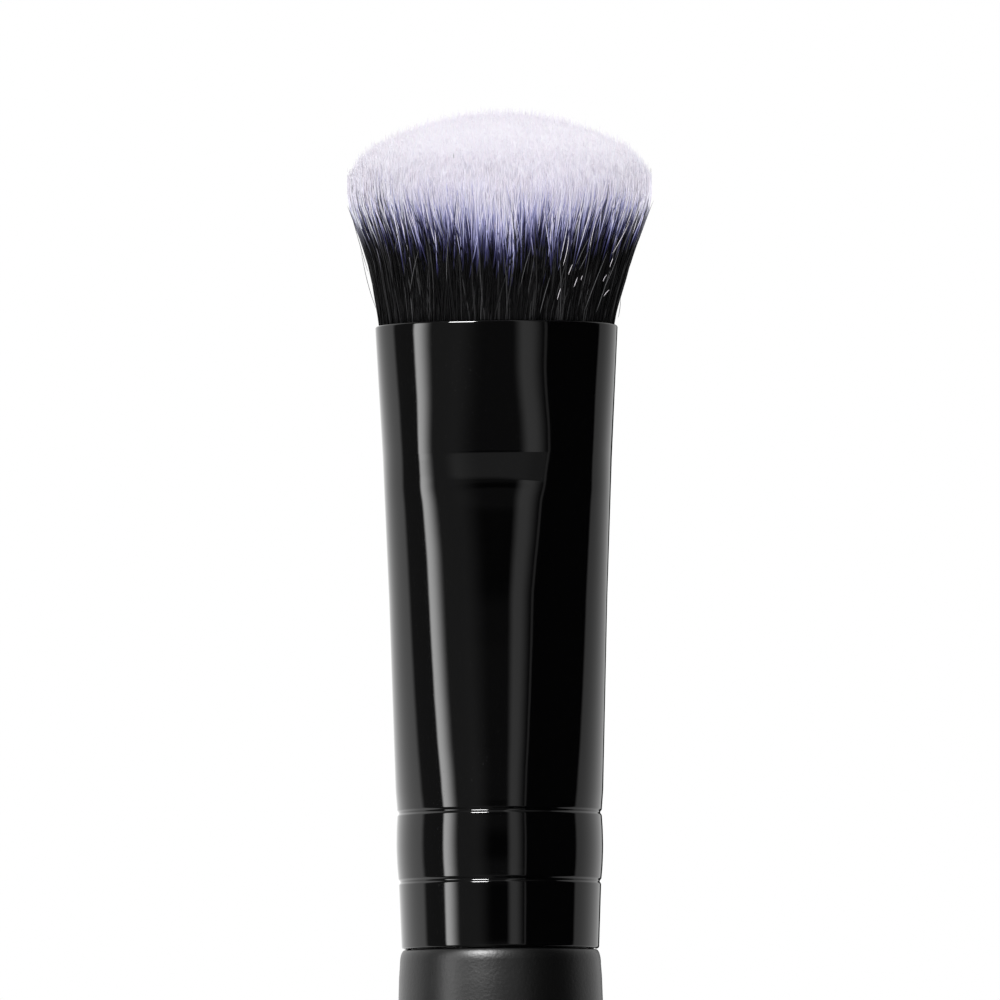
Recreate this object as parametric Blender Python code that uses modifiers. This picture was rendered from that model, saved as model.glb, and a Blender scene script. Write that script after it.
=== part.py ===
"""A concealer brush: a turned handle, a tube ferrule pressed oval at its mouth, and a domed head of bristles.

Units are metres. The brush stands on its butt end at the origin, bristles up along +Z, with its wide side
along X and its thin side along Y.
"""

import math
import random

import bmesh
import bpy

# Fits and facets
CLEARANCE = 0.0003  # between any two pieces that touch on the real brush
MERGE_DISTANCE = 0.00001
SIDES = 40  # facets round every turned or lofted piece

# Handle, heights from the butt end up
HANDLE_LENGTH = 0.0971
SHOULDER_DIAMETER = 0.01256
SHOULDER_ROUNDING = 0.0004
BELLY_DIAMETER = 0.0131
BELLY_BELOW_SHOULDER = 0.015
BUTT_DIAMETER = 0.0074
BUTT_ROUNDING = 0.0014
TENON_LENGTH = 0.017
TENON_CHAMFER = 0.0006
GLUE_GROOVE_DEPTH = 0.001
GLUE_GROOVE_SHARES = (0.2, 0.8)  # of the tenon's plain length above the upper rolled groove
TAPER_POWER = 1.3
HANDLE_CURVE_STEPS = 12
ROUNDING_STEPS = 4

# Ferrule, heights from its foot up
FERRULE_LENGTH = 0.039
FERRULE_WALL = 0.00035
FERRULE_EDGE_BEVEL = 0.0001
FOOT_DIAMETER = 0.01234
BULGE_DIAMETER = 0.01294
NECK_DIAMETER = 0.01299
FLARE_WIDTH = 0.01367  # where the sides begin to flare more
CREASE_WIDTH = 0.01436
MOUTH_WIDTH = 0.01521
CREASE_BELOW_MOUTH = 0.00825
FLARE_LENGTH = 0.00885  # from where the sides flare more up to the crease
LOWER_GROOVE_HEIGHT = 0.0042
UPPER_GROOVE_HEIGHT = 0.0085
GROOVE_HALF_HEIGHT = 0.0003
GROOVE_DEPTH = 0.0001
GROOVE_LIP_DROP = 0.00011  # how far the wall draws in towards a groove before its sharp valley
GROOVE_LEAD = 0.0014  # length of that draw above the upper groove
BULGE_RING_SHARES = (0.25, 0.5, 0.75)  # of the way between the grooves
ROUND_EXPONENT = 2.0  # of a section's superellipse
# The pressed tube's depth as a share of its width, at shares of the way from the upper groove to the crease
PRESSED_DEPTH_SHARES = (
    (0.0, 1.0),
    (0.05, 0.975),
    (0.15, 0.92),
    (0.3, 0.868),
    (0.44, 0.835),
    (0.58, 0.812),
    (0.72, 0.796),
    (0.86, 0.782),
    (1.0, 0.772),
)
# The same at shares of the way from the crease to the mouth
MOUTH_DEPTH_SHARES = ((0.0, 0.772), (0.15, 0.755), (0.45, 0.722), (0.76, 0.703), (1.0, 0.686))
# The exponent at the same shares of each way
PRESSED_EXPONENTS = ((0.0, ROUND_EXPONENT), (0.72, 2.04), (0.86, 2.13), (1.0, 2.35))
MOUTH_EXPONENTS = ((0.0, 2.35), (0.15, 2.3), (0.45, 2.15), (1.0, ROUND_EXPONENT))

# Filaments and their potting, inside the ferrule
AIR_SPACE = 0.0015  # between the tenon and the epoxy plug
PLUG_THICKNESS = 0.006
SLICE_THICKNESS = 0.001
SLICE_BELOW_MOUTH = 0.0005
PACK_STEPS = 8

# Bristle head, heights from the ferrule's mouth up
HEAD_HEIGHT = 0.0136
HEAD_WIDTH = 0.0193  # over the outermost strands' cells, which the tips stand a little inside
HEAD_DEPTH = 0.0144
WIDEST_HEIGHT = 0.0092
BEND_HEIGHT = 0.0045
BEND_SPREAD_SHARE = 0.68  # of the whole spread, reached at the bend
SIDE_DROP = 0.003
FACE_DROP = 0.0046
RIM_DROP = 0.001
RIM_POWER = 14
TIP_SCATTER = 0.00022
STRAND_GAP = 0.0002
STRAND_RINGS = 8  # 6 * 8 * 8 = 384 strands
BEND_STRAND_SHARE = 0.94  # strand thickness at the bend, of the root cell's spread
TIP_STRAND_SHARE = 0.5
SCATTER_SEED = 11

# Where the pieces stack up, from the butt end
FERRULE_FOOT = HANDLE_LENGTH + CLEARANCE
FERRULE_MOUTH = FERRULE_FOOT + FERRULE_LENGTH
CREASE_HEIGHT = FERRULE_LENGTH - CREASE_BELOW_MOUTH
FLARE_HEIGHT = CREASE_HEIGHT - FLARE_LENGTH
PRESS_HEIGHT = UPPER_GROOVE_HEIGHT + GROOVE_HALF_HEIGHT  # where the round tube begins to flatten
PRESS_LENGTH = CREASE_HEIGHT - PRESS_HEIGHT
BORE_INSET = FERRULE_WALL + CLEARANCE  # from the ferrule's outside to what stands inside it
TENON_TOP = HANDLE_LENGTH + TENON_LENGTH
PLUG_BOTTOM = TENON_TOP + AIR_SPACE
PLUG_TOP = PLUG_BOTTOM + PLUG_THICKNESS
SLICE_TOP = FERRULE_MOUTH - SLICE_BELOW_MOUTH
SLICE_BOTTOM = SLICE_TOP - SLICE_THICKNESS


def blend(start, end, share):
    return start + (end - start) * share


def interpolate(stations, place):
    """Reads a value off a list of (place, value) pairs, straight between them."""
    for (low, low_value), (high, high_value) in zip(stations, stations[1:]):
        if place <= high:
            return blend(low_value, high_value, (place - low) / (high - low))
    return stations[-1][1]


def groove_stations(height, lip_diameter):
    """A rolled groove: two lips and a valley."""
    valley = lip_diameter - 2 * GROOVE_DEPTH
    return [
        (height - GROOVE_HALF_HEIGHT, lip_diameter),
        (height, valley),
        (height + GROOVE_HALF_HEIGHT, lip_diameter),
    ]


def ferrule_width_stations():
    """The ferrule's width at each height above its foot."""
    upper_lip = NECK_DIAMETER - 2 * GROOVE_LIP_DROP
    lower_lip = blend(FOOT_DIAMETER, NECK_DIAMETER, LOWER_GROOVE_HEIGHT / UPPER_GROOVE_HEIGHT)
    stations = [(0.0, FOOT_DIAMETER)]
    stations += groove_stations(LOWER_GROOVE_HEIGHT, lower_lip)
    low = LOWER_GROOVE_HEIGHT + GROOVE_HALF_HEIGHT
    high = UPPER_GROOVE_HEIGHT - GROOVE_HALF_HEIGHT
    bulge = BULGE_DIAMETER - (lower_lip + upper_lip) / 2
    for share in BULGE_RING_SHARES:
        straight = blend(lower_lip, upper_lip, share)
        stations.append((blend(low, high, share), straight + bulge * math.sin(share * math.pi)))
    stations += groove_stations(UPPER_GROOVE_HEIGHT, upper_lip)
    stations.append((UPPER_GROOVE_HEIGHT + GROOVE_LEAD, NECK_DIAMETER))
    stations.append((FLARE_HEIGHT, FLARE_WIDTH))
    stations.append((CREASE_HEIGHT, CREASE_WIDTH))
    stations.append((FERRULE_LENGTH, MOUTH_WIDTH))
    return stations


WIDTH_STATIONS = ferrule_width_stations()


def ferrule_section(height):
    """Width, depth and superellipse exponent of the ferrule's outside at a height above its foot."""
    width = interpolate(WIDTH_STATIONS, height)
    if height <= PRESS_HEIGHT:
        return width, width, ROUND_EXPONENT
    if height <= CREASE_HEIGHT:
        way = (height - PRESS_HEIGHT) / PRESS_LENGTH
        depth_shares, exponents = PRESSED_DEPTH_SHARES, PRESSED_EXPONENTS
    else:
        way = (height - CREASE_HEIGHT) / CREASE_BELOW_MOUTH
        depth_shares, exponents = MOUTH_DEPTH_SHARES, MOUTH_EXPONENTS
    return width, width * interpolate(depth_shares, way), interpolate(exponents, way)


def superellipse_point(angle, exponent):
    """A point of the unit superellipse, which is the unit circle at exponent 2."""
    x, y = math.cos(angle), math.sin(angle)
    size = (abs(x) ** exponent + abs(y) ** exponent) ** (1 / exponent)
    return x / size, y / size


def ferrule_ring(height, inset):
    """Points round the ferrule's section at a height above its foot, drawn in by the inset."""
    width, depth, exponent = ferrule_section(height)
    half_width, half_depth = width / 2 - inset, depth / 2 - inset
    ring = []
    for side in range(SIDES):
        x, y = superellipse_point(side / SIDES * math.tau, exponent)
        ring.append((x * half_width, y * half_depth, FERRULE_FOOT + height))
    return ring


def principled(name, color, roughness, metallic=0.0):
    material = bpy.data.materials.new(name)
    material.use_nodes = True
    shader = material.node_tree.nodes["Principled BSDF"]
    shader.inputs["Base Color"].default_value = (*color, 1.0)
    shader.inputs["Roughness"].default_value = roughness
    shader.inputs["Metallic"].default_value = metallic
    material.diffuse_color = (*color, 1.0)
    return material


def add_part(name, bm, material):
    """Makes a bmesh into a named sub-part, shaded smooth with crisp edges."""
    mesh = bpy.data.meshes.new(name)
    bm.to_mesh(mesh)
    bm.free()
    mesh.materials.append(material)
    if mesh.polygons:
        mesh.shade_smooth()
        mesh.set_sharp_from_angle(angle=math.radians(40))
    part = bpy.data.objects.new(name, mesh)
    bpy.data.collections["concealer_brush"].objects.link(part)
    return part


def turn(name, profile, material):
    """Turns a profile of (radius, height) points about Z. It runs down the outer side, top to bottom."""
    bm = bmesh.new()
    points = [bm.verts.new((radius, 0.0, height)) for radius, height in profile]
    for upper, lower in zip(points, points[1:]):
        bm.edges.new((upper, lower))
    part = add_part(name, bm, material)
    screw = part.modifiers.new("turned", "SCREW")
    screw.steps = screw.render_steps = SIDES
    screw.use_merge_vertices = True
    screw.merge_threshold = MERGE_DISTANCE
    screw.use_smooth_shade = True
    return part


def loft(rings, with_ends):
    """Skins rings of points, bottom to top, each with as many points as the next."""
    bm = bmesh.new()
    loops = [[bm.verts.new(point) for point in ring] for ring in rings]
    for lower, upper in zip(loops, loops[1:]):
        for side in range(SIDES):
            after = (side + 1) % SIDES
            bm.faces.new((lower[side], lower[after], upper[after], upper[side]))
    if with_ends:
        bm.faces.new(loops[0][::-1])
        bm.faces.new(loops[-1])
    return bm


def quarter_round(radius, top, rounding, outward_first):
    """Points of a rounded outer edge, as offsets from the corner it replaces."""
    points = []
    for step in range(ROUNDING_STEPS + 1):
        angle = step / ROUNDING_STEPS * math.pi / 2
        if outward_first:
            points.append((radius - rounding * (1 - math.sin(angle)), top - rounding * (1 - math.cos(angle))))
        else:
            points.append((radius - rounding * (1 - math.cos(angle)), top + rounding * (1 - math.sin(angle))))
    return points


def handle_radius(height):
    """Radius of the handle at a height, from the thin butt out to the belly and in to the shoulder."""
    belly_height = HANDLE_LENGTH - BELLY_BELOW_SHOULDER
    if height > belly_height:
        share = (height - belly_height) / BELLY_BELOW_SHOULDER
        return blend(BELLY_DIAMETER, SHOULDER_DIAMETER, share ** 2) / 2
    swell = math.sin(height / belly_height * math.pi / 2) ** TAPER_POWER
    return blend(BUTT_DIAMETER, BELLY_DIAMETER, swell) / 2


def tenon_radius(height):
    """Radius of the tenon at a height above the ferrule's foot: the bore's, less the clearance."""
    depth = ferrule_section(max(height, 0.0))[1]
    return depth / 2 - BORE_INSET


def glue_groove_span():
    """Lowest and highest height of the tenon's glue groove, above the ferrule's foot."""
    plain_from = UPPER_GROOVE_HEIGHT + GROOVE_LEAD
    plain_to = TENON_TOP - FERRULE_FOOT
    return tuple(blend(plain_from, plain_to, share) for share in GLUE_GROOVE_SHARES)


def tenon_profile():
    """The tenon's outer side from its top down to the shoulder, in step with the ferrule's rolled grooves."""
    top = TENON_TOP - FERRULE_FOOT
    groove_low, groove_high = glue_groove_span()
    groove_radius = tenon_radius(groove_low) - GLUE_GROOVE_DEPTH
    profile = [
        (0.0, TENON_TOP),
        (tenon_radius(top) - TENON_CHAMFER, TENON_TOP),
        (tenon_radius(top - TENON_CHAMFER), TENON_TOP - TENON_CHAMFER),
        (tenon_radius(groove_high), FERRULE_FOOT + groove_high),
        (groove_radius, FERRULE_FOOT + groove_high),
        (groove_radius, FERRULE_FOOT + groove_low),
        (tenon_radius(groove_low), FERRULE_FOOT + groove_low),
    ]
    for height, _ in reversed(WIDTH_STATIONS):
        if 0.0 < height < groove_low:
            profile.append((tenon_radius(height), FERRULE_FOOT + height))
    profile.append((tenon_radius(0.0), HANDLE_LENGTH))
    return profile


def add_handle():
    """The turned handle with its tenon, which stands in the ferrule."""
    profile = tenon_profile()
    profile += quarter_round(SHOULDER_DIAMETER / 2, HANDLE_LENGTH, SHOULDER_ROUNDING, True)
    high = HANDLE_LENGTH - SHOULDER_ROUNDING
    for step in range(1, HANDLE_CURVE_STEPS):
        height = blend(high, BUTT_ROUNDING, step / HANDLE_CURVE_STEPS)
        profile.append((handle_radius(height), height))
    profile += quarter_round(handle_radius(BUTT_ROUNDING), 0.0, BUTT_ROUNDING, False)
    profile.append((0.0, 0.0))
    turn("handle", profile, principled("black satin lacquer", (0.012, 0.012, 0.013), 0.38))


def add_tenon_adhesive():
    """The cured glue ring, in the tenon's glue groove and flush with the tenon."""
    groove_low, groove_high = glue_groove_span()
    low, high = groove_low + CLEARANCE, groove_high - CLEARANCE
    inner = tenon_radius(groove_low) - GLUE_GROOVE_DEPTH + CLEARANCE
    profile = [
        (inner, FERRULE_FOOT + high),
        (tenon_radius(high), FERRULE_FOOT + high),
        (tenon_radius(low), FERRULE_FOOT + low),
        (inner, FERRULE_FOOT + low),
        (inner, FERRULE_FOOT + high),
    ]
    turn("tenon_adhesive", profile, principled("cured glue", (0.62, 0.47, 0.22), 0.35))


def ferrule_heights():
    """Heights of the ferrule's rings: each station of its width and of its depth."""
    heights = [height for height, _ in WIDTH_STATIONS]
    heights += [blend(PRESS_HEIGHT, CREASE_HEIGHT, way) for way, _ in PRESSED_DEPTH_SHARES[2:-1]]
    heights += [blend(CREASE_HEIGHT, FERRULE_LENGTH, way) for way, _ in MOUTH_DEPTH_SHARES[1:-1]]
    return sorted(heights)


def add_ferrule():
    """The tube, one even wall thick, rolled at its grooves and pressed oval towards its mouth."""
    rings = [ferrule_ring(height, 0.0) for height in ferrule_heights()]
    lacquer = principled("gloss black lacquer", (0.006, 0.006, 0.007), 0.1)
    part = add_part("ferrule", loft(rings, False), lacquer)
    wall = part.modifiers.new("wall", "SOLIDIFY")
    wall.thickness = FERRULE_WALL
    wall.offset = -1.0
    edges = part.modifiers.new("edges", "BEVEL")
    edges.width = FERRULE_EDGE_BEVEL
    edges.segments = 1
    edges.angle_limit = math.radians(75)


def packed_fill(low, high):
    """A closed solid that fills the ferrule's bore, with its clearance, between heights above the butt."""
    rings = []
    for step in range(PACK_STEPS + 1):
        height = blend(low, high, step / PACK_STEPS) - FERRULE_FOOT
        rings.append(ferrule_ring(height, BORE_INSET))
    return loft(rings, True)


def add_root_epoxy():
    """The plug that holds the filaments' lower ends."""
    epoxy = principled("cured epoxy", (0.5, 0.36, 0.16), 0.25)
    add_part("root_epoxy", packed_fill(PLUG_BOTTOM, PLUG_TOP), epoxy)


def add_bristle_roots():
    """The packed length of the filaments, from the plug to the slice that the head grows from."""
    black = principled("packed filaments", (0.01, 0.01, 0.012), 0.6)
    add_part("bristle_roots", packed_fill(PLUG_TOP + CLEARANCE, SLICE_BOTTOM - CLEARANCE), black)


def head_half_sizes(height):
    """Half the head's width and depth at a height above the mouth: straight up to the bend and on from it."""
    root_width, root_depth, _ = ferrule_section(FERRULE_LENGTH - SLICE_BELOW_MOUTH)
    halves = []
    for root, full in ((root_width, HEAD_WIDTH), (root_depth, HEAD_DEPTH)):
        root_half = root / 2 - BORE_INSET
        bend_half = blend(root_half, full / 2, BEND_SPREAD_SHARE)
        if height <= BEND_HEIGHT:
            share = (height + SLICE_BELOW_MOUTH) / (BEND_HEIGHT + SLICE_BELOW_MOUTH)
            halves.append(blend(root_half, bend_half, share))
        else:
            share = (height - BEND_HEIGHT) / (WIDEST_HEIGHT - BEND_HEIGHT)
            halves.append(blend(bend_half, full / 2, share))
    return halves


def dome_height(u, v):
    """Height of the bristles' tips above the mouth, over a place in the unit disc."""
    return HEAD_HEIGHT - SIDE_DROP * u ** 2 - FACE_DROP * v ** 2 - RIM_DROP * math.hypot(u, v) ** RIM_POWER


def spread(u, v, height):
    """Where a place in the unit disc lies at a height above the mouth, so that no two strands cross."""
    half_width, half_depth = head_half_sizes(height)
    return u * half_width, v * half_depth, FERRULE_MOUTH + height


def hexagon_to_disc(x, y):
    """Moves a place in the unit hexagon out to the unit disc, ring by ring."""
    reach = 0.0
    for side in range(6):
        angle = side / 6 * math.tau
        reach = max(reach, (x * math.cos(angle) + y * math.sin(angle)) / math.cos(math.pi / 6))
    length = math.hypot(x, y)
    if length == 0:
        return 0.0, 0.0
    return x / length * reach, y / length * reach


def triangle_cells(bm):
    """Divides the slice's top into even triangles, six times the rings squared."""
    bmesh.ops.create_circle(bm, cap_ends=True, cap_tris=True, segments=6, radius=1.0)
    bmesh.ops.subdivide_edges(bm, edges=bm.edges[:], cuts=STRAND_RINGS - 1, use_grid_fill=True)
    for vert in bm.verts:
        u, v = hexagon_to_disc(vert.co.x, vert.co.y)
        vert.co = spread(u, v, -SLICE_BELOW_MOUTH)
    return bm.faces[:]


def grow_strands(bm, cells):
    """Draws a tapering strand up from each cell, bent once, with its tip on the dome."""
    scatter = random.Random(SCATTER_SEED)
    root_width, root_depth = head_half_sizes(-SLICE_BELOW_MOUTH)
    bmesh.ops.inset_individual(bm, faces=cells, thickness=STRAND_GAP / 2)
    for share, at_tip in ((BEND_STRAND_SHARE, False), (TIP_STRAND_SHARE, True)):
        cells = bmesh.ops.extrude_discrete_faces(bm, faces=cells)["faces"]
        for cell in cells:
            middle = cell.calc_center_median()
            width, depth = (root_width, root_depth) if not at_tip else head_half_sizes(BEND_HEIGHT)
            lift = scatter.uniform(-TIP_SCATTER, TIP_SCATTER)
            for vert in cell.verts:
                place = middle + (vert.co - middle) * share
                u, v = place.x / width, place.y / depth
                vert.co = spread(u, v, dome_height(u, v) + lift if at_tip else BEND_HEIGHT)


def add_bristle_head():
    """The free bristles, fused to a slice of the packed filaments just inside the mouth."""
    bm = bmesh.new()
    grow_strands(bm, triangle_cells(bm))
    rim = [edge for edge in bm.edges if edge.is_boundary]
    wall = bmesh.ops.extrude_edge_only(bm, edges=rim)["geom"]
    lower = [item for item in wall if isinstance(item, bmesh.types.BMVert)]
    bmesh.ops.translate(bm, verts=lower, vec=(0.0, 0.0, -SLICE_THICKNESS))
    bmesh.ops.holes_fill(bm, edges=[edge for edge in bm.edges if edge.is_boundary])
    bmesh.ops.recalc_face_normals(bm, faces=bm.faces[:])
    add_part("bristle_head", bm, principled("filaments", (0.05, 0.045, 0.09), 0.5))


def clear_scene():
    for item in list(bpy.data.objects):
        bpy.data.objects.remove(item, do_unlink=True)


def main():
    clear_scene()
    collection = bpy.data.collections.new("concealer_brush")
    bpy.context.scene.collection.children.link(collection)
    add_handle()
    add_tenon_adhesive()
    add_ferrule()
    add_root_epoxy()
    add_bristle_roots()
    add_bristle_head()


if __name__ == "__main__":
    main()
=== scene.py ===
"""The looks of a concealer brush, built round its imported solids.

Units are metres, in the solids' frame: the butt end at the origin, the bristles up along +Z, the wide side
along X and the thin side along Y. The camera looks along +Y.
"""

import math
import random

import bmesh
import bpy
import numpy as np
from bpy.props import FloatProperty, FloatVectorProperty, IntProperty, PointerProperty
from bpy.types import Operator, Panel, PropertyGroup
from mathutils import Matrix, Vector, noise


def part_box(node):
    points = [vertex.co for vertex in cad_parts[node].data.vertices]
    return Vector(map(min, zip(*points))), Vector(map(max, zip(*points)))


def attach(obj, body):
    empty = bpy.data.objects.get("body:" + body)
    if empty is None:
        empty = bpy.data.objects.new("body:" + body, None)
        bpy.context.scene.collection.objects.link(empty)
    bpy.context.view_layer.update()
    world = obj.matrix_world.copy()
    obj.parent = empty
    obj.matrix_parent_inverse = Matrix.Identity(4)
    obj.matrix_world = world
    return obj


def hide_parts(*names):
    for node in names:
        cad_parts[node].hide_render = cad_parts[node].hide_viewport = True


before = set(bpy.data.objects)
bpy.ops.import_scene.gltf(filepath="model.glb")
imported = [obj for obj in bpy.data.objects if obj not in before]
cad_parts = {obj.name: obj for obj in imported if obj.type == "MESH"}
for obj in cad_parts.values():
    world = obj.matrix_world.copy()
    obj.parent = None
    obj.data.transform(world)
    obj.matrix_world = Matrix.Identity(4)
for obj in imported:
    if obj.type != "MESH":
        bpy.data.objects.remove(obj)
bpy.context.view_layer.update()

bl_info = {
    "name": "Concealer brush",
    "version": (1, 0, 0),
    "blender": (4, 5, 0),
    "location": "3D View > Sidebar > Brush",
    "description": "Builds a concealer brush's handle, ferrule and bristles round its solids",
    "category": "Add Mesh",
}

MM = 0.001
MERGE_DISTANCE = 0.0000001
ROUND_SIDES = 192
TUBE_SIDES = 4

# Heights from the butt end up, as the solids have them
FERRULE_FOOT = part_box("ferrule")[0].z
FERRULE_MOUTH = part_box("ferrule")[1].z
TENON_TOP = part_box("handle")[1].z

# Ferrule, heights in mm above its foot
FERRULE_LENGTH = (FERRULE_MOUTH - FERRULE_FOOT) / MM
CREASE_HEIGHT = FERRULE_LENGTH - 8.25
FLARE_HEIGHT = CREASE_HEIGHT - 8.85
PRESS_HEIGHT = 8.8
LOWER_GROOVE, UPPER_GROOVE = 4.2, 8.5
WIDTHS = (
    (0.0, 12.34),
    (LOWER_GROOVE, 12.66),
    (5.2, 12.85),
    (6.35, 12.94),
    (7.5, 12.9),
    (UPPER_GROOVE, 12.77),
    (9.9, 12.99),
    (FLARE_HEIGHT, 13.67),
    (CREASE_HEIGHT, 14.36),
    (FERRULE_LENGTH, 15.21),
)
DEPTH_SHARES = (  # the section's depth over its width
    (0.0, 1.0),
    (PRESS_HEIGHT, 1.0),
    (9.9, 0.975),
    (12.1, 0.92),
    (15.4, 0.868),
    (18.5, 0.835),
    (21.5, 0.812),
    (24.6, 0.796),
    (27.7, 0.78),
    (28.6, 0.759),
    (CREASE_HEIGHT, 0.7967),
    (32.0, 0.7785),
    (34.5, 0.7415),
    (37.0, 0.7075),
    (FERRULE_LENGTH, 0.686),
)
EXPONENTS = (  # of the section's superellipse, 2 where it is a plain ellipse
    (0.0, 2.0),
    (PRESS_HEIGHT, 2.0),
    (24.6, 2.04),
    (27.7, 2.13),
    (CREASE_HEIGHT, 2.35),
    (32.0, 2.3),
    (34.5, 2.15),
    (FERRULE_LENGTH, 2.0),
)
RIGHT_EXPONENTS = (  # what the right half's exponent has more, because the jaws pressed it flatter
    (0.0, 0.0),
    (22.0, 0.0),
    (25.0, 0.09),
    (28.0, 0.1),
    (CREASE_HEIGHT, 0.2),
    (33.0, 0.2),
    (36.0, 0.14),
    (FERRULE_LENGTH, 0.2),
)
ROUNDING_REACH = 0.5  # mm to both sides over which a section is averaged
CREASE_REACH, CREASE_EASE = 0.06, 0.4  # that reach at the crease, and how fast it grows away from it
GROOVE_MARGIN = 0.6  # mm above and below a groove's middle that have close rings

# Handle, in mm
BORE_INSET = 0.65  # from the ferrule's outside to the tenon
GLUE_GROOVE_FROM, GLUE_GROOVE_DEPTH = 9.9, 1.0  # height above the foot, and depth into the tenon
GLUE_GROOVE_LOW, GLUE_GROOVE_HIGH = 0.2, 0.8  # its shares of the way from there to the tenon's top
TENON_BEVEL = 0.6
BELLY_BELOW = 15.0  # from the shoulder down to the belly
TAPER_POWER = 1.3
BUTT_ROUNDING = 1.4

# Bristle head, half width in mm at heights above the mouth
HEAD_HALF_WIDTHS = (
    (-0.5, 7.1),
    (0.0, 7.16),
    (1.4, 7.42),
    (2.9, 7.78),
    (3.9, 8.0),
    (4.9, 8.3),
    (5.9, 8.68),
    (6.9, 9.08),
    (7.9, 9.4),
    (14.0, 9.44),
)
MOUTH_HALF_WIDTH, FULL_HALF_WIDTH = 7.16, 9.44
MOUTH_HALF_DEPTH, FULL_HALF_DEPTH = 4.82, 6.8
HEAD_HEIGHT = 13.35
HEAD_SHIFT, SHIFTED_FROM = 0.25, 4.0  # the head hangs a little to the right of the ferrule
SIDE_DROP, FACE_DROP, RIM_DROP, RIM_POWER = 2.95, 4.6, 0.9, 16
HALVES_FROM, HALVES_STEP, HALVES_COUNT = -0.5, 0.05, 320  # heights at which the halves are worked out

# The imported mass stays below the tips: everywhere, more towards the rim, and more at the very rim, in mm
CORE_BELOW, CORE_SLOPE, CORE_EDGE = 0.13, 0.5, 0.65
SLOPE_POWER, EDGE_POWER = 6, 24
CORE_REACH, CORE_SIDE_SHARE = 0.98, 0.78
CORE_SIDES, CORE_SIDE_STEP, CORE_TOP_STEP = 96, 0.06, 0.015
CORE_FADE_HEIGHT, CORE_FADE_RISE, CORE_FADE_POWER = 5.9, 1.5, 1.3

# Filaments, in mm and in shares of the head's half width and half depth
ROOT_HEIGHT = -0.4  # where whole filaments start, inside the mouth
ROOT_CAP, TIP_CAP = 0.05, 0.12  # lengths in which a filament's ends close
TIP_LENGTH = 3.0  # of the filaments inside the head, whose roots don't show
SIDE_FROM = 0.45  # past this the inner filaments count as left or right
WHOLE_RINGS, TIP_RINGS, LOOSE_RINGS, LONE_RINGS = 10, 5, 12, 12
INNER_BEND = 1.4  # filaments under the loose ones rise straight, then lean
WAVE_TURN = 5.0  # radians of a loose filament's wave
LOOSE_REACH, LOOSE_SWELL = (0.985, 1.012), (0.001, 0.012)
LONE_OUTSIDE, LONE_SIDE_OUTSIDE = 0.12, 0.35
TUFT_PATCHES, DRIFT_PATCHES = (27.0, 9.0), (6.0, 2.0)  # scale and layer of the smooth noise
CROWDING_ACROSS, CROWDING_BACK = (13.0, 4.0), (13.0, 24.5)
GOLDEN_ANGLE = math.pi * (3 - math.sqrt(5))

# The filaments' own map: columns across for tints, and up for the colour change
TINTS = 64
GREY_TINTS = 4  # the last columns, which stay grey down to the root
SMOKY_TINTS = 12  # the columns before those, whose blues are greyer
FIRST_GREY, FIRST_SMOKY = TINTS - GREY_TINTS, TINTS - GREY_TINTS - SMOKY_TINTS
PALE_AND_GLINT_TINT = 3  # the column of the lone pale filaments, the short of which are painted glints
SMOKY_POWER, SIDE_LIGHT_POWER = 4, 2.5  # how closely smokiness and the paleness that paints side light keep to the sides
FADE_SPAN = 16.0  # mm of filament that the map's height covers
FADE_MIDDLE, FADE_INNER_RISE = 5.65, 2.0
FADE_SIDE_RISE, FADE_SIDE_POWER, FADE_SIDE_EASE = 2.04, 1.2, 0.45
PALE_FADE = -40.0  # mm, a colour change so low that the filament is pale all along
LONE_FILAMENTS = (  # (x, height above the mouth) in mm from low to high, and whether it is pale or grey; the short pale ones are painted glints
    ((-7.43, 0.94), (-8.04, 2.23), (-8.49, 5.0), False),
    ((-8.72, 6.03), (-8.96, 6.8), (-9.3, 7.63), False),
    ((-7.95, 3.2), (-8.55, 5.2), (-9.05, 7.1), False),
    ((7.62, 0.4), (7.78, 1.0), (7.8, 1.7), False),
    ((8.4, 4.2), (9.05, 5.7), (9.94, 7.9), False),
    ((7.22, 4.16), (7.87, 5.2), (8.42, 6.4), True),
    ((5.0, 3.4), (5.35, 4.3), (5.87, 5.2), False),
    ((7.1, 3.4), (7.18, 3.7), (7.32, 4.0), True),
    ((4.5, 2.8), (4.62, 3.15), (4.78, 3.5), True),
    ((3.8, 1.25), (3.88, 1.6), (4.03, 2.0), True),
    ((4.84, 2.06), (4.95, 2.35), (5.09, 2.7), True),
    ((5.3, 2.5), (5.32, 2.65), (5.4, 2.8), True),
    ((6.67, 2.5), (6.72, 2.7), (6.92, 2.95), True),
    ((6.72, 1.6), (6.8, 1.8), (7.07, 2.05), True),
    ((-5.38, 1.85), (-5.18, 3.2), (-4.78, 4.5), False),
    ((-3.08, 2.35), (-3.1, 3.9), (-2.88, 5.4), False),
    ((-6.28, 4.4), (-6.2, 5.2), (-5.98, 6.0), False),
    ((1.5, 2.0), (1.8, 3.4), (2.25, 4.6), False),
    ((5.5, 0.6), (6.05, 2.2), (7.0, 4.4), False),
    ((2.7, 0.3), (2.95, 1.4), (3.4, 2.8), False),
    ((5.85, 4.44), (6.04, 5.69), (6.6, 7.27), True),
    ((5.17, 3.1), (5.5, 3.7), (5.8, 4.4), False),
    ((6.8, 2.2), (7.35, 3.4), (7.75, 4.6), False),
    ((4.15, 3.3), (4.5, 4.3), (4.55, 5.25), True),
    ((6.2, 0.5), (6.75, 2.0), (7.15, 3.3), False),
)

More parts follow.
